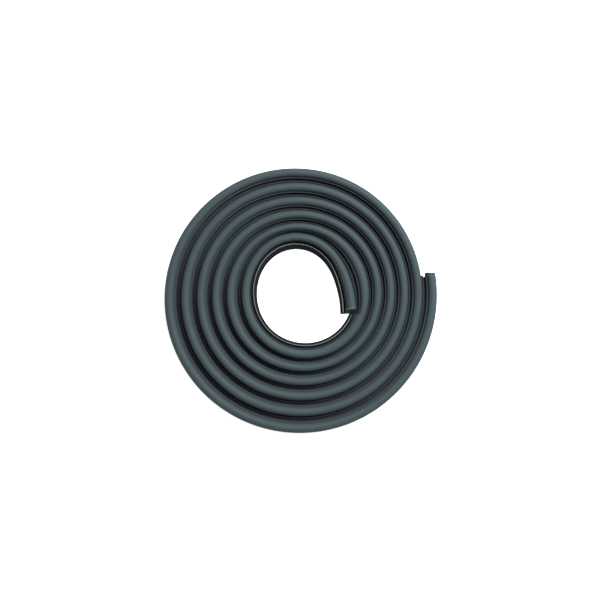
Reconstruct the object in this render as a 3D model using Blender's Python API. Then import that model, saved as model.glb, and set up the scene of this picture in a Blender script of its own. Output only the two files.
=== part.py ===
# Trunk weatherstrip: one length of extruded sponge rubber, coiled flat in a single layer.
# The strip has a flat foot with a thin lip and a low shoulder on it, and a hollow round bulb beside them.
# The coil lies on its foot at z = 0. Its turns run counterclockwise outward, seen from above (+Z).

import math

import bmesh
import bpy

MM = 0.001

# Section of the strip, free of its neighbours. x runs from the foot's free edge to the bulb's outer side.
STRIP_WIDTH = 20.6 * MM
BULB_RADIUS = 5.8 * MM
BULB_TOP = 15.4 * MM
BORE_RADIUS = 3.9 * MM
FOOT_THICK = 2.4 * MM
FOOT_EDGE = 0.5 * MM
LIP_X = 3.4 * MM
LIP_THICK = 1.5 * MM
LIP_TOP = 6.2 * MM
GROOVE_X = 4.7 * MM
GROOVE_WIDTH = 1.6 * MM
GROOVE_FLOOR = 2.6 * MM
SHOULDER_X = 7.6 * MM
SHOULDER_WIDTH = 1.4 * MM
SHOULDER_TOP = 9.5 * MM
NOTCH_X = 9.0 * MM
NOTCH_Z = 9.2 * MM
SIDE_TUCK = 2.4 * MM

# Coil. The radii are those of the bulb's outer side, and angles are counterclockwise from +X.
START_ANGLE = -18.0
TOTAL_ANGLE = 2188.6
EYE_RADIUS = 70.6 * MM
EYE_PITCH = 15.7 * MM
RIM_PITCH = 21.2 * MM
EYE_CENTRE = (1.7 * MM, 9.6 * MM)
RIM_CENTRE = (-5.5 * MM, 5.4 * MM)
EYE_OVAL = 7.5 * MM
EYE_OVAL_AXIS = 115.0
EYE_EGG = 2.4 * MM
EYE_EGG_AXIS = -20.0
EYE_FADE_TURNS = 0.49
RIM_OVAL = 0.3 * MM
RIM_OVAL_AXIS = -15.0
MIDDLE_RISE = 1.2 * MM
MIDDLE_SWELL = 0.6 * MM

# The inner end springs outward over its last few centimetres.
END_FLARE = 3.6 * MM
FLARE_TURNS = 0.045

# How neighbouring turns sit: the foot's free edge reaches a hair under the next inner bulb's overhang
# without touching it, and the strip is squeezed to the room there, or spread a little where it is loose.
# Beside the inner end's slanting face the foot keeps its full width, and narrows along that face.
TUCK_UNDER = 0.1 * MM
BULB_SQUEEZE_SHARE = 0.38
LOOSE_SPREAD = 1.2 * MM
EASE_END = 5.9
EASE_ANGLE = 2.3

# Along the eye's upper right the foot's free side has rolled over, and shows more of itself.
FOOT_ROLL = 3.4 * MM
ROLL_TURNS = 0.33
ROLL_REACH_TURNS = 0.19

# Each end is cut off leaning, up to the bulb's middle, and askew: the inner end over its whole width, the
# outer end over the bulb.
INNER_LEAN = 0.6
INNER_SKEW = 0.4
OUTER_LEAN = 0.8
OUTER_SKEW = -0.28

STATIONS_PER_TURN = 34
INNER_CLEARANCE = 13.0
OUTER_CLEARANCE = 3.0
BORE_POINTS = 9
BULB_ARC_START = -30.0
BULB_ARC_END = 162.0
BULB_ARC_POINTS = 9

for old in list(bpy.data.objects):
    bpy.data.objects.remove(old, do_unlink=True)

FOOT_WIDTH = STRIP_WIDTH - 2 * BULB_RADIUS
BULB_X = STRIP_WIDTH - BULB_RADIUS
BULB_Z = BULB_TOP - BULB_RADIUS


def arc(centre_x, centre_z, radius, start, end, count):
    """Points of an arc, both ends included."""
    points = []
    for i in range(count):
        angle = math.radians(start + (end - start) * i / (count - 1))
        points.append((centre_x + radius * math.cos(angle), centre_z + radius * math.sin(angle)))
    return points


def outline():
    """The section's outer outline, counterclockwise from the foot's lower free edge."""
    points = [(FOOT_EDGE, 0.0)]
    points.append((STRIP_WIDTH - SIDE_TUCK, 0.0))
    points.append((STRIP_WIDTH - SIDE_TUCK / 3, SIDE_TUCK))
    points += arc(BULB_X, BULB_Z, BULB_RADIUS, BULB_ARC_START, BULB_ARC_END, BULB_ARC_POINTS)
    points.append((NOTCH_X, NOTCH_Z))
    points.append((SHOULDER_X + SHOULDER_WIDTH / 2, SHOULDER_TOP))
    points.append((SHOULDER_X - SHOULDER_WIDTH / 2, SHOULDER_TOP))
    points.append((GROOVE_X + GROOVE_WIDTH, GROOVE_FLOOR))
    points.append((GROOVE_X, GROOVE_FLOOR))
    points.append((LIP_X + LIP_THICK / 2, LIP_TOP))
    points.append((LIP_X - LIP_THICK / 2, LIP_TOP))
    points.append((0.0, FOOT_THICK))
    points.append((0.0, FOOT_EDGE))
    return points


def bore():
    """The bore's outline, clockwise."""
    points = []
    for i in range(BORE_POINTS):
        angle = -2 * math.pi * i / BORE_POINTS + math.pi / 2
        points.append((BULB_X + BORE_RADIUS * math.cos(angle), BULB_Z + BORE_RADIUS * math.sin(angle)))
    return points


def edge_radius(angle_deg):
    """How far the bulb's outer side is from the coil's axis at an angle along the whole spiral."""
    turns = (angle_deg - START_ANGLE) / 360
    along = turns / (TOTAL_ANGLE / 360)
    angle = math.radians(angle_deg)
    radius = EYE_RADIUS + EYE_PITCH * turns + (RIM_PITCH - EYE_PITCH) * turns * along / 2
    centre_x = EYE_CENTRE[0] + (RIM_CENTRE[0] - EYE_CENTRE[0]) * along
    centre_y = EYE_CENTRE[1] + (RIM_CENTRE[1] - EYE_CENTRE[1]) * along
    middle = 4 * along * (1 - along)
    centre_y += MIDDLE_RISE * middle
    radius += MIDDLE_SWELL * middle
    radius += centre_x * math.cos(angle) + centre_y * math.sin(angle)
    radius += RIM_OVAL * math.cos(2 * (angle - math.radians(RIM_OVAL_AXIS)))
    fade = math.exp(-turns / EYE_FADE_TURNS)
    radius += fade * EYE_OVAL * math.cos(2 * (angle - math.radians(EYE_OVAL_AXIS)))
    radius += fade * EYE_EGG * math.cos(3 * (angle - math.radians(EYE_EGG_AXIS)))
    return radius + END_FLARE * math.exp(-max(turns, 0.0) / FLARE_TURNS)


def room_at(angle_deg):
    """The width that the strip has at an angle: its free width, or what the next inner turn leaves it."""
    room = edge_radius(angle_deg) - edge_radius(angle_deg - 360) + TUCK_UNDER
    room = min(STRIP_WIDTH + LOOSE_SPREAD, room)
    free = min(max((START_ANGLE + 360 + EASE_END - angle_deg) / EASE_ANGLE, 0.0), 1.0)
    return room * (1 - free) + STRIP_WIDTH * free


def rolled(x, angle_deg):
    """Where the foot has rolled over, its lip and groove lie further from its free edge."""
    turns = (angle_deg - START_ANGLE) / 360
    roll = FOOT_ROLL * math.exp(-(((turns - ROLL_TURNS) / ROLL_REACH_TURNS) ** 2))
    lip_start = LIP_X - 0.7 * LIP_THICK
    groove_end = GROOVE_X + GROOVE_WIDTH
    if x < lip_start:
        return x + roll * x / lip_start
    if x < groove_end:
        return x + roll
    return x + roll * max(0.0, (BULB_X - x) / (BULB_X - groove_end))


def place(point, angle_deg):
    """A point of the section, set at an angle of the coil and squeezed to the room there."""
    x, z = rolled(point[0], angle_deg), point[1]
    short = STRIP_WIDTH - room_at(angle_deg)
    bulb_scale = 1 - BULB_SQUEEZE_SHARE * short / (2 * BULB_RADIUS)
    foot_scale = 1 - (1 - BULB_SQUEEZE_SHARE) * short / FOOT_WIDTH
    from_side = STRIP_WIDTH - x
    in_bulb = min(from_side, 2 * BULB_RADIUS)
    in_foot = from_side - in_bulb
    radius = edge_radius(angle_deg) - in_bulb * bulb_scale - in_foot * foot_scale
    angle = math.radians(angle_deg)
    return (radius * math.cos(angle), radius * math.sin(angle), z)


def cut(point, angle_deg, lean, skew, skew_from):
    """A point of an end face whose foot is at an angle of the coil, askew from a place across the strip on."""
    along = lean * min(point[1], BULB_Z) + skew * max(point[0] - skew_from, 0.0)
    return place(point, angle_deg + math.degrees(along / edge_radius(angle_deg)))


def stations():
    """The angles of the sections between both cut ends: the same ones in every turn."""
    first = START_ANGLE + EASE_END - EASE_ANGLE
    step = (360 - EASE_ANGLE) / (STATIONS_PER_TURN - 1)
    turn = [first] + [first + EASE_ANGLE + step * i for i in range(STATIONS_PER_TURN - 1)]
    low = START_ANGLE + INNER_CLEARANCE
    high = START_ANGLE + TOTAL_ANGLE - OUTER_CLEARANCE
    angles = [angle + 360 * k for k in range(math.ceil(TOTAL_ANGLE / 360)) for angle in turn]
    return [angle for angle in angles if low < angle < high]


def rings():
    """Every cross-section of the strip from its inner end to its outer end."""
    section = outline() + bore()
    made = [[cut(p, START_ANGLE, INNER_LEAN, INNER_SKEW, 0.0) for p in section]]
    made += [[place(p, angle) for p in section] for angle in stations()]
    end = START_ANGLE + TOTAL_ANGLE
    made.append([cut(p, end, OUTER_LEAN, OUTER_SKEW, FOOT_WIDTH) for p in section])
    return made


def build_strip():
    outer_count = len(outline())
    bore_count = BORE_POINTS
    made = rings()
    flat = [p for ring in made for p in ring]
    low = [min(p[k] for p in flat) for k in range(2)]
    high = [max(p[k] for p in flat) for k in range(2)]
    middle = [(low[k] + high[k]) / 2 for k in range(2)]
    mesh = bmesh.new()
    grid = []
    for ring in made:
        grid.append([mesh.verts.new((p[0] - middle[0], p[1] - middle[1], p[2])) for p in ring])
    for first, second in zip(grid, grid[1:]):
        for start, count in ((0, outer_count), (outer_count, bore_count)):
            for i in range(count):
                a = start + i
                b = start + (i + 1) % count
                mesh.faces.new((first[a], first[b], second[b], second[a]))
    for ring in (grid[0], grid[-1]):
        edges = []
        for start, count in ((0, outer_count), (outer_count, bore_count)):
            for i in range(count):
                edges.append(mesh.edges.get((ring[start + i], ring[start + (i + 1) % count])))
        bmesh.ops.triangle_fill(mesh, edges=edges, use_beauty=True)
    bmesh.ops.triangulate(mesh, faces=[f for f in mesh.faces if len(f.verts) > 3])
    bmesh.ops.recalc_face_normals(mesh, faces=mesh.faces)
    data = bpy.data.meshes.new("weatherstrip")
    mesh.to_mesh(data)
    mesh.free()
    strip = bpy.data.objects.new("weatherstrip", data)
    bpy.context.scene.collection.objects.link(strip)
    return strip


def rubber():
    material = bpy.data.materials.new("weatherstrip_rubber")
    material.use_nodes = True
    shader = material.node_tree.nodes["Principled BSDF"]
    shader.inputs["Base Color"].default_value = (0.035, 0.042, 0.044, 1.0)
    shader.inputs["Roughness"].default_value = 0.6
    return material


weatherstrip = build_strip()
weatherstrip.data.materials.append(rubber())
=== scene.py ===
# Looks of the trunk weatherstrip: a finely modelled strip of sponge rubber in place of the plain solid,
# on a white floor under one soft light, seen straight from above.

import math

import bmesh
import bpy
import numpy as np
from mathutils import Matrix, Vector


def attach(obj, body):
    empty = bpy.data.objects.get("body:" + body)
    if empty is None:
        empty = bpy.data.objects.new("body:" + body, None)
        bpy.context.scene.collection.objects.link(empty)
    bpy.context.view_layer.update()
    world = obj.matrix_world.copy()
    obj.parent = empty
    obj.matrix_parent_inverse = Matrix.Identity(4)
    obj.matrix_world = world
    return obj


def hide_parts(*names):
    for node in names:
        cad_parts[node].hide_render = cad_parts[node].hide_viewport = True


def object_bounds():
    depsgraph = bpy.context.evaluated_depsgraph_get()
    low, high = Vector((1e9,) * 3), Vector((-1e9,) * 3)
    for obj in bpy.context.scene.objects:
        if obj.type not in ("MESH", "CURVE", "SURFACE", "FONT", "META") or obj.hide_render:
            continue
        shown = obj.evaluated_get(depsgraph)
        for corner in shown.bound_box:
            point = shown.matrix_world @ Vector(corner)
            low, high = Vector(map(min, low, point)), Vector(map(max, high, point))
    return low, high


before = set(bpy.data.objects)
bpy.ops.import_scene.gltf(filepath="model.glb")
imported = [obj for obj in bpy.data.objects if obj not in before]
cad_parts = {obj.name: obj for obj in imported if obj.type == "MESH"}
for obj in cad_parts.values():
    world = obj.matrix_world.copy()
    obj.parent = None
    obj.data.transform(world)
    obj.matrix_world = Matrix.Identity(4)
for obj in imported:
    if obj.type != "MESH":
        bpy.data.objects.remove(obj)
CAD_LOW, CAD_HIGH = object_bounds()

MM = 0.001

# Section of the strip, free of its neighbours, as in the part: x from the foot's free edge, z up.
STRIP_WIDTH = 20.6 * MM
BULB_RADIUS = 5.8 * MM
BULB_TOP = 15.4 * MM
BORE_RADIUS = 3.9 * MM
FOOT_THICK = 2.4 * MM
FOOT_EDGE = 0.5 * MM
LIP_X = 3.4 * MM
LIP_THICK = 1.5 * MM
LIP_TOP = 6.2 * MM
GROOVE_X = 4.7 * MM
GROOVE_WIDTH = 1.6 * MM
GROOVE_FLOOR = 2.6 * MM
SHOULDER_X = 7.6 * MM
SHOULDER_WIDTH = 1.4 * MM
SHOULDER_TOP = 9.5 * MM
NOTCH_X = 9.0 * MM
NOTCH_Z = 9.2 * MM
SIDE_TUCK = 2.4 * MM
LIP_FOOT_SHARE = 0.7

# Fine shape that the part leaves out: the shoulder rises a little towards the groove, and the section's
# corners are rounded; the lip's edge is a half round.
SHOULDER_RISE = 0.1 * MM
SIDE_LOWER_ROUND = 0.8 * MM
SIDE_UPPER_ROUND = 1.5 * MM
NOTCH_ROUND = 0.3 * MM
SHOULDER_ROUND = 0.6 * MM
GROOVE_ROUND = 0.5 * MM
FOOT_TOP_ROUND = 0.8 * MM
FOOT_EDGE_ROUND = 0.3 * MM

# Coil, as in the part.
START_ANGLE = -18.0
TOTAL_ANGLE = 2188.6
EYE_RADIUS = 70.6 * MM
EYE_PITCH = 15.7 * MM
RIM_PITCH = 21.2 * MM
EYE_CENTRE = (1.7 * MM, 9.6 * MM)
RIM_CENTRE = (-5.5 * MM, 5.4 * MM)
EYE_OVAL = 7.5 * MM
EYE_OVAL_AXIS = 115.0
EYE_EGG = 2.4 * MM
EYE_EGG_AXIS = -20.0
EYE_FADE_TURNS = 0.49
RIM_OVAL = 0.3 * MM
RIM_OVAL_AXIS = -15.0
MIDDLE_RISE = 1.2 * MM
MIDDLE_SWELL = 0.6 * MM
END_FLARE = 3.6 * MM
FLARE_TURNS = 0.045
FOOT_ROLL = 3.4 * MM
ROLL_TURNS = 0.33
ROLL_REACH_TURNS = 0.19

# How neighbouring turns sit. Unlike in the part, whose turns stay apart, the foot reaches well under the
# next inner bulb and spreads further where the coil is loose, so that no floor shows between the turns.
# Beside the inner end it keeps its full width up to EASE_END degrees past that end, narrows over the last
# EASE_ANGLE of them, and is tucked a little further under for END_TUCK_REACH degrees to either side.
TUCK_UNDER = 1.2 * MM
BULB_SQUEEZE_SHARE = 0.38
LOOSE_SPREAD = 2.6 * MM
EASE_END = 6.3
EASE_ANGLE = 2.3
END_TUCK = 0.9 * MM
END_TUCK_REACH = 5.0

# Both ends are cut off leaning and askew, as in the part; the sections before them lean more and more.
INNER_LEAN = 0.6
OUTER_LEAN = 0.8
INNER_SKEW = 0.4
OUTER_SKEW = -0.28
END_REACH = 26 * MM

# How finely the strip is modelled.
STATIONS = 1298
BORE_EVERY = 5
CORNER_STEPS = 3
BULB_STEPS = 24
BORE_POINTS = 16
BULB_START = -30
BULB_END = 162

# The strip's map for baking: it lies in rows, with both cut ends in the room above them.
MAP_ROWS = 7
MAP_MARGIN = 2 * MM
MAP_EDGE = 0.004
CAP_ROOM = 30 * MM
CAP_SHARE = 0.03
CAP_SCALE = 0.75
CAP_FIRST = 0.25
CAP_STEP = 0.5
CAP_INNER_RADIUS = 0.063
CAP_OUTER_RADIUS = 0.168

# Finish of the rubber.
SPONGE_COLOUR = (0.0335, 0.050, 0.056)
SPONGE_BLOOM = (0.045, 0.062, 0.068)
SCUFF_COLOUR = (0.085, 0.098, 0.102)
END_WEAR_REACH = 8 * MM
# Painted shade on the shoulder between the bulb and the groove, darker still along the innermost pass.
SHOULDER_SHADE_COLOUR = (0.024, 0.034, 0.038)
BARE_SHOULDER_SHADE_COLOUR = (0.013, 0.018, 0.020)
SPONGE_ROUGHNESS = 0.57
SPONGE_SHEEN = 0.11
STREAK_COLOUR = (0.030, 0.033, 0.037)
DENSE_COLOUR = (0.022, 0.0265, 0.0295)
# Painted shade: the groove and lip go nearly black along the innermost pass.
BARE_DENSE_SHADE_COLOUR = (0.006, 0.0075, 0.0085)
# Painted highlight on the lip's crest along the innermost pass.
LIP_HIGHLIGHT_COLOUR = (0.104, 0.114, 0.116)
BARE_LENGTH = 0.485
DENSE_ROUGHNESS = 0.55
DENSE_SHEEN = 0.06
SIDE_COLOUR = (0.024, 0.029, 0.032)
# Painted shade: the foot's free side goes black along the innermost pass.
BARE_SIDE_SHADE_COLOUR = (0.008, 0.010, 0.012)
SIDE_ROUGHNESS = 0.9
CUT_COLOUR = (0.026, 0.031, 0.033)
# Painted shade in the pits of the cut end's open cells.
CUT_PIT_SHADE_COLOUR = (0.006, 0.007, 0.007)
CUT_ROUGHNESS = 0.85
CUT_SLOT = 3

# Relief and unevenness of the finish. Scales are cells per metre, and ranges are those of the noise.
STREAK_STRETCH = (5.0, 1400.0, 1.0)
STREAK_RANGE = (0.45, 0.8)
STREAK_DEPTH = 0.06 * MM
STREAK_STRENGTH = 0.5
GRAIN_SCALE = 1800.0
GRAIN_RANGE = (0.3, 0.7)
GRAIN_DEPTH = 0.15 * MM
GRAIN_STRENGTH = 0.35
GRAIN_ROUGHNESS = 0.05
BLOOM_SCALE = 26.0
BLOOM_RANGE = (0.35, 0.65)
BLOOM_SHARE = 0.2
SCUFF_SCALE = 220.0
SCUFF_DETAIL = 4.0
SCUFF_RANGE = (0.68, 0.80)
SCUFF_SHARE = 0.5
SPONGE_STREAK_SHARE = 0.25
DENSE_STREAK_SHARE = 0.4
SIDE_STREAK_SHARE = 0.5
END_WEAR_SHARE = 0.35
NOTCH_FADE = 1.5 * MM
# Where the lip's painted highlight begins and where it is full, in lip thicknesses before the crest's
# middle.
LIP_HIGHLIGHT_START = 0.6
LIP_HIGHLIGHT_FULL = 0.3
BARE_FADE = 1.03
CELL_SCALE = 2600.0
CELL_RANGE = (0.1, 0.7)
CELL_DEPTH = 0.2 * MM
CELL_STRENGTH = 0.6

# Light: one soft lamp to the upper right, a white room and a floor bright enough to drown its shadows.
KEY_AZIMUTH = 50.0
KEY_ELEVATION = 54.0
KEY_DISTANCE = 2.0
KEY_SIZE = 1.4
KEY_WATTS = 90.0
ROOM_STRENGTH = 0.34
FLOOR_SHADE = 0.86
FLOOR_GLOW = 0.78
FLOOR_REACH = 80.0
FLOOR_GAP = 0.0002
FLOOR_ROUGHNESS = 0.9

# The photograph's frame: 600 pixels of just under 1.3 mm, looked at straight down. It has that width at
# FRAME_LEVEL of the strip's height.
FRAME_WIDTH = 0.7775
FRAME_OFFSET = (-0.0010, 0.0008)
LENS = 70.0
SENSOR = 36.0
FRAME_LEVEL = 0.6

FOOT_WIDTH = STRIP_WIDTH - 2 * BULB_RADIUS
BULB_X = STRIP_WIDTH - BULB_RADIUS
BULB_Z = BULB_TOP - BULB_RADIUS


def arc(centre, radius, start, end, steps):
    """Points of an arc, both ends included."""
    angles = [math.radians(start + (end - start) * i / steps) for i in range(steps + 1)]
    return [(centre[0] + radius * math.cos(a), centre[1] + radius * math.sin(a)) for a in angles]


def rounded(before, corner, after, radius):
    """The corner between two straight runs, as points of the arc that touches both."""
    before, corner, after = Vector(before), Vector(corner), Vector(after)
    back = (before - corner).normalized()
    on = (after - corner).normalized()
    half = back.angle(on) / 2
    reach = min(radius / math.tan(half), (before - corner).length / 2, (after - corner).length / 2)
    radius = reach * math.tan(half)
    centre = corner + (back + on).normalized() * (radius / math.sin(half))
    first = math.atan2(*reversed(corner + back * reach - centre))
    last = math.atan2(*reversed(corner + on * reach - centre))
    turn = (last - first + math.pi) % (2 * math.pi) - math.pi
    angles = [first + turn * i / CORNER_STEPS for i in range(CORNER_STEPS + 1)]
    return [(centre.x + radius * math.cos(a), centre.y + radius * math.sin(a)) for a in angles]


def run(points, corners, after):
    """Adds rounded corners to an outline that goes on to the point after."""
    places = [points[-1]] + [place for place, _ in corners] + [after]
    for i, (_, radius) in enumerate(corners):
        points += rounded(places[i], places[i + 1], places[i + 2], radius)
    return points


def outline():
    """The section's outer outline, counterclockwise from the foot's lower free edge."""
    side = STRIP_WIDTH - SIDE_TUCK
    bulb = arc((BULB_X, BULB_Z), BULB_RADIUS, BULB_START, BULB_END, BULB_STEPS)
    outer_side = [
        ((side, 0.0), SIDE_LOWER_ROUND),
        ((STRIP_WIDTH - SIDE_TUCK / 3, SIDE_TUCK), SIDE_UPPER_ROUND),
    ]
    points = run([(FOOT_EDGE, 0.0)], outer_side, bulb[0]) + bulb
    foot = [
        ((NOTCH_X, NOTCH_Z), NOTCH_ROUND),
        ((SHOULDER_X + SHOULDER_WIDTH / 2, SHOULDER_TOP), SHOULDER_ROUND),
        ((SHOULDER_X - SHOULDER_WIDTH / 2, SHOULDER_TOP + SHOULDER_RISE), SHOULDER_ROUND),
        ((GROOVE_X + GROOVE_WIDTH, GROOVE_FLOOR), GROOVE_ROUND),
        ((GROOVE_X, GROOVE_FLOOR), GROOVE_ROUND),
        ((LIP_X + LIP_THICK / 2, LIP_TOP), LIP_THICK / 2),
        ((LIP_X - LIP_THICK / 2, LIP_TOP), LIP_THICK / 2),
        ((0.0, FOOT_THICK), FOOT_TOP_ROUND),
        ((0.0, FOOT_EDGE), FOOT_EDGE_ROUND),
    ]
    return np.array(run(points, foot, (FOOT_EDGE, 0.0)))


def nearest(section, place):
    """The number of the section's point nearest to a place."""
    return np.hypot(*(section - place).T).argmin()


def finish_around(section):
    """The material slot of each side of the section: bulb and shoulder, groove, or foot side."""
    groove = nearest(section, (SHOULDER_X - SHOULDER_WIDTH / 2, SHOULDER_TOP + SHOULDER_RISE)) + 1
    lip = nearest(section, (LIP_X - LIP_THICK / 2, LIP_TOP))
    order = np.arange(len(section))
    return (order >= groove).astype(np.int32) + (order >= lip)


def reach_of(place):
    """Metres around the section from the foot's lower free edge to the point nearest to a place."""
    section = outline()
    return around(section)[nearest(section, place)]


def bore():
    """The bore's outline, clockwise."""
    return np.array(arc((BULB_X, BULB_Z), BORE_RADIUS, 90, -270 + 360 / BORE_POINTS, BORE_POINTS - 1))


def edge_radius(degrees):
    """How far the bulb's outer side is from the coil's axis, at angles along the whole spiral."""
    turns = (degrees - START_ANGLE) / 360
    along = turns / (TOTAL_ANGLE / 360)
    angle = np.radians(degrees)
    radius = EYE_RADIUS + EYE_PITCH * turns + (RIM_PITCH - EYE_PITCH) * turns * along / 2
    radius += (EYE_CENTRE[0] + (RIM_CENTRE[0] - EYE_CENTRE[0]) * along) * np.cos(angle)
    radius += (EYE_CENTRE[1] + (RIM_CENTRE[1] - EYE_CENTRE[1]) * along) * np.sin(angle)
    radius += 4 * along * (1 - along) * (MIDDLE_SWELL + MIDDLE_RISE * np.sin(angle))
    radius += RIM_OVAL * np.cos(2 * (angle - math.radians(RIM_OVAL_AXIS)))
    fade = np.exp(-turns / EYE_FADE_TURNS)
    radius += fade * EYE_OVAL * np.cos(2 * (angle - math.radians(EYE_OVAL_AXIS)))
    radius += fade * EYE_EGG * np.cos(3 * (angle - math.radians(EYE_EGG_AXIS)))
    return radius + END_FLARE * np.exp(-np.maximum(turns, 0) / FLARE_TURNS)


def room_at(degrees):
    """The width that the strip has: its free width, or what the next inner turn leaves it."""
    room = edge_radius(degrees) - edge_radius(degrees - 360) + TUCK_UNDER
    room = np.minimum(STRIP_WIDTH + LOOSE_SPREAD, room)
    free = np.clip((START_ANGLE + 360 + EASE_END - degrees) / EASE_ANGLE, 0, 1)
    beside = np.clip(2 - np.abs(degrees - START_ANGLE - 360 - EASE_END) / END_TUCK_REACH * 2, 0, 1)
    return room * (1 - free) + STRIP_WIDTH * free + END_TUCK * beside * (1 - free)


def rolled(x, degrees):
    """Where the foot's free side has rolled over, the lip and groove lie further from its edge."""
    turns = (degrees - START_ANGLE) / 360
    roll = FOOT_ROLL * np.exp(-(((turns - ROLL_TURNS) / ROLL_REACH_TURNS) ** 2))
    lip_start = LIP_X - LIP_FOOT_SHARE * LIP_THICK
    weight = np.interp(x, (0.0, lip_start, GROOVE_X + GROOVE_WIDTH, BULB_X), (0.0, 1.0, 1.0, 0.0))
    return x + roll * weight


def swept(section, degrees):
    """The section at every angle: an array of stations by points by x, y, z."""
    across, z = section[:, 0], section[:, 1]
    edge = edge_radius(degrees)
    arc_length = along_strip(degrees)
    from_start = np.clip(1 - arc_length / END_REACH, 0, 1)
    from_end = np.clip(1 - (arc_length[-1] - arc_length) / END_REACH, 0, 1)
    height = np.minimum(z, BULB_Z)
    lean = from_start[:, None] * (INNER_LEAN * height + INNER_SKEW * across)
    over_bulb = np.maximum(across - FOOT_WIDTH, 0)
    lean = lean + from_end[:, None] * (OUTER_LEAN * height + OUTER_SKEW * over_bulb)
    turned = degrees[:, None] + np.degrees(lean / edge[:, None])
    x = rolled(np.broadcast_to(across, turned.shape), turned)
    short = STRIP_WIDTH - room_at(turned)
    in_bulb = np.minimum(STRIP_WIDTH - x, 2 * BULB_RADIUS)
    in_foot = STRIP_WIDTH - x - in_bulb
    radius = edge_radius(turned)
    radius -= in_bulb * (1 - BULB_SQUEEZE_SHARE * short / (2 * BULB_RADIUS))
    radius -= in_foot * (1 - (1 - BULB_SQUEEZE_SHARE) * short / FOOT_WIDTH)
    angle = np.radians(turned)
    z = np.broadcast_to(z, radius.shape)
    return np.stack([radius * np.cos(angle), radius * np.sin(angle), z], 2)


def along_strip(degrees):
    """Metres along the strip's outer side from its inner end."""
    edge = edge_radius(degrees)
    steps = np.radians(np.diff(degrees)) * (edge[1:] + edge[:-1]) / 2
    return np.concatenate([[0], np.cumsum(steps)])


def around(section):
    """Metres around a closed section, one value more than it has points."""
    closed = np.vstack([section, section[:1]])
    return np.concatenate([[0], np.cumsum(np.hypot(*np.diff(closed, axis=0).T))])


def tube_faces(first, stations, count):
    """Quads between neighbouring rings of a tube whose first vertex has that index."""
    i, j = np.meshgrid(np.arange(stations - 1), np.arange(count), indexing="ij")
    a = first + i * count + j
    b = first + i * count + (j + 1) % count
    return np.stack([a, b, b + count, a + count], 2).reshape(-1, 4)


def build_strip():
    """The whole strip as one closed mesh, fitted into the solid's box."""
    section, hole = outline(), bore()
    ease = START_ANGLE + 360 + EASE_END
    degrees = START_ANGLE + TOTAL_ANGLE * np.arange(STATIONS + 1) / STATIONS
    degrees = np.union1d(degrees, [ease - EASE_ANGLE, ease])
    skin = swept(section, degrees)
    inside = swept(hole, degrees[::BORE_EVERY])
    low, high = skin.min((0, 1)), skin.max((0, 1))
    middle = (low + high) / 2
    size = high - low
    fit = min(1.0, *((CAD_HIGH[k] - CAD_LOW[k]) / size[k] for k in range(2)))
    points = np.concatenate([skin.reshape(-1, 3), inside.reshape(-1, 3)])
    points[:, :2] = (points[:, :2] - middle[:2]) * fit
    points[:, :2] += [(CAD_LOW[k] + CAD_HIGH[k]) / 2 for k in range(2)]
    points[:, 2] = np.minimum(points[:, 2], CAD_HIGH[2])
    split = len(skin) * len(section)
    faces = np.concatenate([
        tube_faces(0, len(skin), len(section)),
        tube_faces(split, len(inside), len(hole)),
    ])
    mesh = bpy.data.meshes.new("weatherstrip_skin")
    mesh.from_pydata(points.tolist(), [], faces.tolist())
    lay_maps(mesh, degrees, section, hole)
    material = np.zeros(len(faces), dtype=np.int32)
    material[: (len(skin) - 1) * len(section)] = np.tile(finish_around(section), len(skin) - 1)
    mesh.polygons.foreach_set("material_index", material)
    cap_ends(mesh, split, len(section), len(hole))
    strip = bpy.data.objects.new("weatherstrip_skin", mesh)
    bpy.context.scene.collection.objects.link(strip)
    return strip


def quad_map(along, around_it):
    """Both coordinates of every quad's four corners, in the order of tube_faces."""
    u = np.stack([along[:-1], along[:-1], along[1:], along[1:]], 1)
    v = np.stack([around_it[:-1], around_it[1:], around_it[1:], around_it[:-1]], 1)
    shape = (len(u), len(v), 4)
    return np.stack([np.broadcast_to(u[:, None], shape), np.broadcast_to(v[None], shape)], 3)


def lay_maps(mesh, degrees, section, hole):
    """One map in metres along and around the strip, and one that lays the strip out in rows for baking."""
    along = along_strip(degrees)
    outer, inner = around(section), around(hole)
    metres = [quad_map(along, outer), quad_map(along[::BORE_EVERY], outer[-1] + inner)]
    row_length = along[-1] / MAP_ROWS
    row_height = outer[-1] + inner[-1] + 3 * MAP_MARGIN
    rows = []
    for block, shift in zip(metres, (MAP_MARGIN, 2 * MAP_MARGIN)):
        row = np.minimum(block[..., 0].mean(2) // row_length, MAP_ROWS - 1)[..., None]
        u = (block[..., 0] - row * row_length) / row_length
        v = (block[..., 1] + shift + row * row_height) / (row_height * MAP_ROWS + CAP_ROOM)
        rows.append(np.stack([u * (1 - 2 * MAP_EDGE) + MAP_EDGE, v], 3))
    for name, blocks in (("strip_metres", metres), ("OFBake", rows)):
        layer = mesh.uv_layers.new(name=name)
        flat = np.concatenate([b.reshape(-1, 2) for b in blocks])
        layer.data.foreach_set("uv", flat.astype(np.float32).ravel())


def cap_ends(mesh, split, outer_count, hole_count):
    """Closes the wall between the outline and the bore at both cut ends."""
    work = bmesh.new()
    work.from_mesh(mesh)
    work.verts.ensure_lookup_table()
    total = len(work.verts)
    starts = [(0, split), (split - outer_count, total - hole_count)]
    for outer_first, hole_first in starts:
        edges = []
        for first, count in ((outer_first, outer_count), (hole_first, hole_count)):
            for i in range(count):
                pair = (work.verts[first + i], work.verts[first + (i + 1) % count])
                edges.append(work.edges.get(pair))
        for face in bmesh.ops.triangle_fill(work, edges=edges, use_beauty=True)["geom"]:
            if isinstance(face, bmesh.types.BMFace):
                face.material_index = CUT_SLOT
                lay_cap(work, face, outer_first > 0)
    bmesh.ops.recalc_face_normals(work, faces=work.faces)
    work.to_mesh(mesh)
    work.free()
    mesh.polygons.foreach_set("use_smooth", [p.material_index < CUT_SLOT for p in mesh.polygons])


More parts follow.
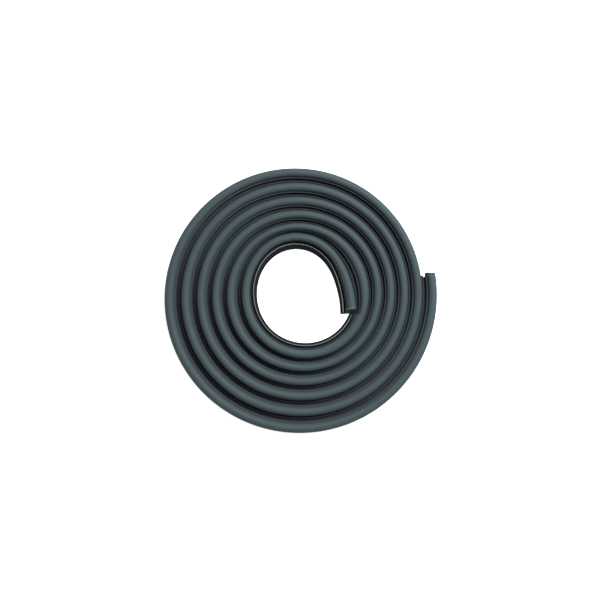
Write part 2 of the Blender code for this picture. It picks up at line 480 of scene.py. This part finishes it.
def lay_cap(work, face, outer_end):
    """Lays a face of a cut end flat in the room above the map's rows."""
    layer = work.loops.layers.uv["OFBake"]
    for loop in face.loops:
        place = loop.vert.co
        across = math.hypot(place.x, place.y) - (CAP_OUTER_RADIUS if outer_end else CAP_INNER_RADIUS)
        u = CAP_FIRST + CAP_STEP * outer_end + across / CAP_SCALE
        loop[layer].uv = (u, 1 - CAP_SHARE + place.z / CAP_SCALE)


def node(tree, kind, **inputs):
    """A node with values for its inputs, whose names have an underscore in place of a space."""
    made = tree.nodes.new(kind)
    for name, value in inputs.items():
        made.inputs[name.replace("_", " ")].default_value = value
    return made


def blend_colours(tree, share, first, second):
    """A colour between two, each a plain colour or a socket."""
    mix = tree.nodes.new("ShaderNodeMix")
    mix.data_type = "RGBA"
    tree.links.new(share, mix.inputs["Factor"])
    for socket, colour in ((mix.inputs["A"], first), (mix.inputs["B"], second)):
        if isinstance(colour, tuple):
            socket.default_value = (*colour, 1)
        else:
            tree.links.new(colour, socket)
    return mix.outputs["Result"]


def spread(tree, source, low, high, to_low=0.0, to_high=1.0):
    """A value's range from low to high, stretched to another and held at its ends."""
    made = node(tree, "ShaderNodeMapRange", From_Min=low, From_Max=high, To_Min=to_low, To_Max=to_high)
    tree.links.new(source, made.inputs["Value"])
    return made.outputs["Result"]


def noise_at(tree, place, scale, detail=3.0, stretch=(1, 1, 1)):
    """Noise with cells of 1/scale metres, and finer along each coordinate by the factors given."""
    mapping = node(tree, "ShaderNodeMapping", Scale=stretch)
    tree.links.new(place, mapping.inputs["Vector"])
    made = node(tree, "ShaderNodeTexNoise", Scale=scale, Detail=detail)
    tree.links.new(mapping.outputs["Vector"], made.inputs["Vector"])
    return made.outputs["Fac"]


def strip_material(name, roughness, sheen):
    """A material with the strip's map, its grain and the fine lines that the die leaves along it."""
    material = bpy.data.materials.new(name)
    material.use_nodes = True
    tree = material.node_tree
    shader = tree.nodes["Principled BSDF"]
    place = tree.nodes.new("ShaderNodeTexCoord").outputs["Object"]
    strip_map = tree.nodes.new("ShaderNodeUVMap")
    strip_map.uv_map = "strip_metres"
    streak = noise_at(tree, strip_map.outputs["UV"], 1.0, stretch=STREAK_STRETCH)
    grain = noise_at(tree, place, GRAIN_SCALE)
    lines = node(tree, "ShaderNodeBump", Strength=STREAK_STRENGTH, Distance=STREAK_DEPTH)
    tree.links.new(streak, lines.inputs["Height"])
    pores = node(tree, "ShaderNodeBump", Strength=GRAIN_STRENGTH, Distance=GRAIN_DEPTH)
    tree.links.new(grain, pores.inputs["Height"])
    tree.links.new(lines.outputs["Normal"], pores.inputs["Normal"])
    tree.links.new(pores.outputs["Normal"], shader.inputs["Normal"])
    smooth, rough = roughness - GRAIN_ROUGHNESS, roughness + GRAIN_ROUGHNESS
    tree.links.new(spread(tree, grain, *GRAIN_RANGE, smooth, rough), shader.inputs["Roughness"])
    shader.inputs["Specular IOR Level"].default_value = sheen
    parts = tree.nodes.new("ShaderNodeSeparateXYZ")
    tree.links.new(strip_map.outputs["UV"], parts.inputs["Vector"])
    return material, shader, place, parts.outputs, streak


def bare_part(tree, metres):
    """1 along the innermost pass, which no other turn lies against, and 0 from there on."""
    return spread(tree, metres["X"], BARE_LENGTH, BARE_LENGTH * BARE_FADE, 1.0, 0.0)


def streaked(tree, colour, streak, share, streak_colour):
    """A colour with some of another along the die's lines."""
    return blend_colours(tree, spread(tree, streak, *STREAK_RANGE, 0.0, share), colour, streak_colour)


def sponge_skin():
    """The bulb and shoulder: matt sponge skin with a faint bloom, and painted shade on the shoulder,
    darkest along the innermost pass.
    """
    made = strip_material("sponge_skin", SPONGE_ROUGHNESS, SPONGE_SHEEN)
    material, shader, place, metres, streak = made
    tree = material.node_tree
    cloud = spread(tree, noise_at(tree, place, BLOOM_SCALE), *BLOOM_RANGE, 0.0, BLOOM_SHARE)
    colour = blend_colours(tree, cloud, SPONGE_COLOUR, SPONGE_BLOOM)
    notch = reach_of((NOTCH_X, NOTCH_Z))
    # Painted shade: past the notch the bulb's colour gives way to the shoulder's darker one.
    shoulder = blend_colours(tree, bare_part(tree, metres), SHOULDER_SHADE_COLOUR, BARE_SHOULDER_SHADE_COLOUR)
    past_notch = spread(tree, metres["Y"], notch - NOTCH_FADE, notch)
    colour = blend_colours(tree, past_notch, colour, shoulder)
    colour = streaked(tree, colour, streak, SPONGE_STREAK_SHARE, STREAK_COLOUR)
    end_wear = spread(tree, metres["X"], END_WEAR_REACH / 2, END_WEAR_REACH, END_WEAR_SHARE, 0.0)
    colour = blend_colours(tree, end_wear, colour, SCUFF_COLOUR)
    scuff = spread(tree, noise_at(tree, place, SCUFF_SCALE, SCUFF_DETAIL), *SCUFF_RANGE, 0.0, SCUFF_SHARE)
    colour = blend_colours(tree, scuff, colour, SCUFF_COLOUR)
    tree.links.new(colour, shader.inputs["Base Color"])
    return material


def dense_foot():
    """The groove and the lip: along the innermost pass, where no other turn lies against them, they get
    painted shade and the lip's crest a painted highlight.
    """
    material, shader, _, metres, streak = strip_material("dense_foot", DENSE_ROUGHNESS, DENSE_SHEEN)
    tree = material.node_tree
    lip = reach_of((LIP_X, LIP_TOP))
    # Painted highlight: the lip's crest is painted pale along the innermost pass.
    lip_highlight = node(tree, "ShaderNodeMath")
    lip_highlight.operation = "MULTIPLY"
    on_lip = spread(tree, metres["Y"], lip - LIP_THICK * LIP_HIGHLIGHT_START, lip - LIP_THICK * LIP_HIGHLIGHT_FULL)
    tree.links.new(on_lip, lip_highlight.inputs[0])
    tree.links.new(bare_part(tree, metres), lip_highlight.inputs[1])
    # Painted shade in the groove along the innermost pass.
    colour = blend_colours(tree, bare_part(tree, metres), DENSE_COLOUR, BARE_DENSE_SHADE_COLOUR)
    colour = blend_colours(tree, lip_highlight.outputs["Value"], colour, LIP_HIGHLIGHT_COLOUR)
    colour = streaked(tree, colour, streak, DENSE_STREAK_SHARE, SIDE_COLOUR)
    tree.links.new(colour, shader.inputs["Base Color"])
    return material


def foot_side():
    """The foot's free side, dull and dark from the lip down, and painted black as painted shade along the
    innermost pass.
    """
    material, shader, _, metres, streak = strip_material("foot_side", SIDE_ROUGHNESS, 0.0)
    tree = material.node_tree
    # The side's own dark tone, with painted shade along the innermost pass.
    colour = blend_colours(tree, bare_part(tree, metres), SIDE_COLOUR, BARE_SIDE_SHADE_COLOUR)
    colour = streaked(tree, colour, streak, SIDE_STREAK_SHARE, STREAK_COLOUR)
    tree.links.new(colour, shader.inputs["Base Color"])
    return material


def cut_rubber():
    """The open cells of a cut end, with painted shade in each cell's pit."""
    material = bpy.data.materials.new("rubber_cut")
    material.use_nodes = True
    tree = material.node_tree
    shader = tree.nodes["Principled BSDF"]
    place = tree.nodes.new("ShaderNodeTexCoord").outputs["Object"]
    cells = node(tree, "ShaderNodeTexVoronoi", Scale=CELL_SCALE)
    tree.links.new(place, cells.inputs["Vector"])
    # Painted shade: each cell's pit is darker towards its deepest middle.
    pit = spread(tree, cells.outputs["Distance"], *CELL_RANGE)
    tree.links.new(blend_colours(tree, pit, CUT_PIT_SHADE_COLOUR, CUT_COLOUR), shader.inputs["Base Color"])
    bump = node(tree, "ShaderNodeBump", Strength=CELL_STRENGTH, Distance=CELL_DEPTH)
    tree.links.new(pit, bump.inputs["Height"])
    tree.links.new(bump.outputs["Normal"], shader.inputs["Normal"])
    shader.inputs["Roughness"].default_value = CUT_ROUGHNESS
    return material


def build_stage():
    """A white floor just under the strip."""
    floor_mesh = bpy.data.meshes.new("floor")
    signs = ((-1, -1), (1, -1), (1, 1), (-1, 1))
    corners = [(x * FLOOR_REACH, y * FLOOR_REACH, 0) for x, y in signs]
    floor_mesh.from_pydata(corners, [], [(0, 1, 2, 3)])
    floor = bpy.data.objects.new("floor", floor_mesh)
    bpy.context.scene.collection.objects.link(floor)
    floor.location.z = CAD_LOW.z - FLOOR_GAP
    white = bpy.data.materials.new("floor_white")
    white.use_nodes = True
    shader = white.node_tree.nodes["Principled BSDF"]
    shader.inputs["Base Color"].default_value = (FLOOR_SHADE, FLOOR_SHADE, FLOOR_SHADE, 1)
    shader.inputs["Roughness"].default_value = FLOOR_ROUGHNESS
    shader.inputs["Emission Color"].default_value = (1, 1, 1, 1)
    shader.inputs["Emission Strength"].default_value = FLOOR_GLOW
    floor_mesh.materials.append(white)


def area_light(name, azimuth, elevation, distance, size, watts):
    """A round lamp that looks at the coil's middle."""
    data = bpy.data.lights.new(name, "AREA")
    data.shape = "DISK"
    data.size = size
    data.energy = watts
    lamp = bpy.data.objects.new(name, data)
    bpy.context.scene.collection.objects.link(lamp)
    a, e = math.radians(azimuth), math.radians(elevation)
    away = Vector((math.cos(a) * math.cos(e), math.sin(a) * math.cos(e), math.sin(e)))
    lamp.location = away * distance
    lamp.rotation_mode = "QUATERNION"
    lamp.rotation_quaternion = away.to_track_quat("Z", "Y")
    return lamp


def build_light():
    """The lamp and the white room."""
    area_light("key", KEY_AZIMUTH, KEY_ELEVATION, KEY_DISTANCE, KEY_SIZE, KEY_WATTS)
    world = bpy.data.worlds.new("studio")
    world.use_nodes = True
    room = world.node_tree.nodes["Background"]
    room.inputs["Color"].default_value = (1, 1, 1, 1)
    room.inputs["Strength"].default_value = ROOM_STRENGTH
    bpy.context.scene.world = world
    bpy.context.scene.view_settings.view_transform = "Standard"


def build_camera():
    """A camera straight above the coil."""
    data = bpy.data.cameras.new("camera")
    data.lens = LENS
    data.sensor_width = SENSOR
    camera = bpy.data.objects.new("camera", data)
    bpy.context.scene.collection.objects.link(camera)
    height = FRAME_WIDTH * LENS / SENSOR
    camera.location = (FRAME_OFFSET[0], FRAME_OFFSET[1], height + BULB_TOP * FRAME_LEVEL)
    bpy.context.scene.camera = camera


strip = build_strip()
for finish in (sponge_skin(), dense_foot(), foot_side(), cut_rubber()):
    strip.data.materials.append(finish)
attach(strip, "root")
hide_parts("weatherstrip")
build_stage()
build_light()
build_camera()
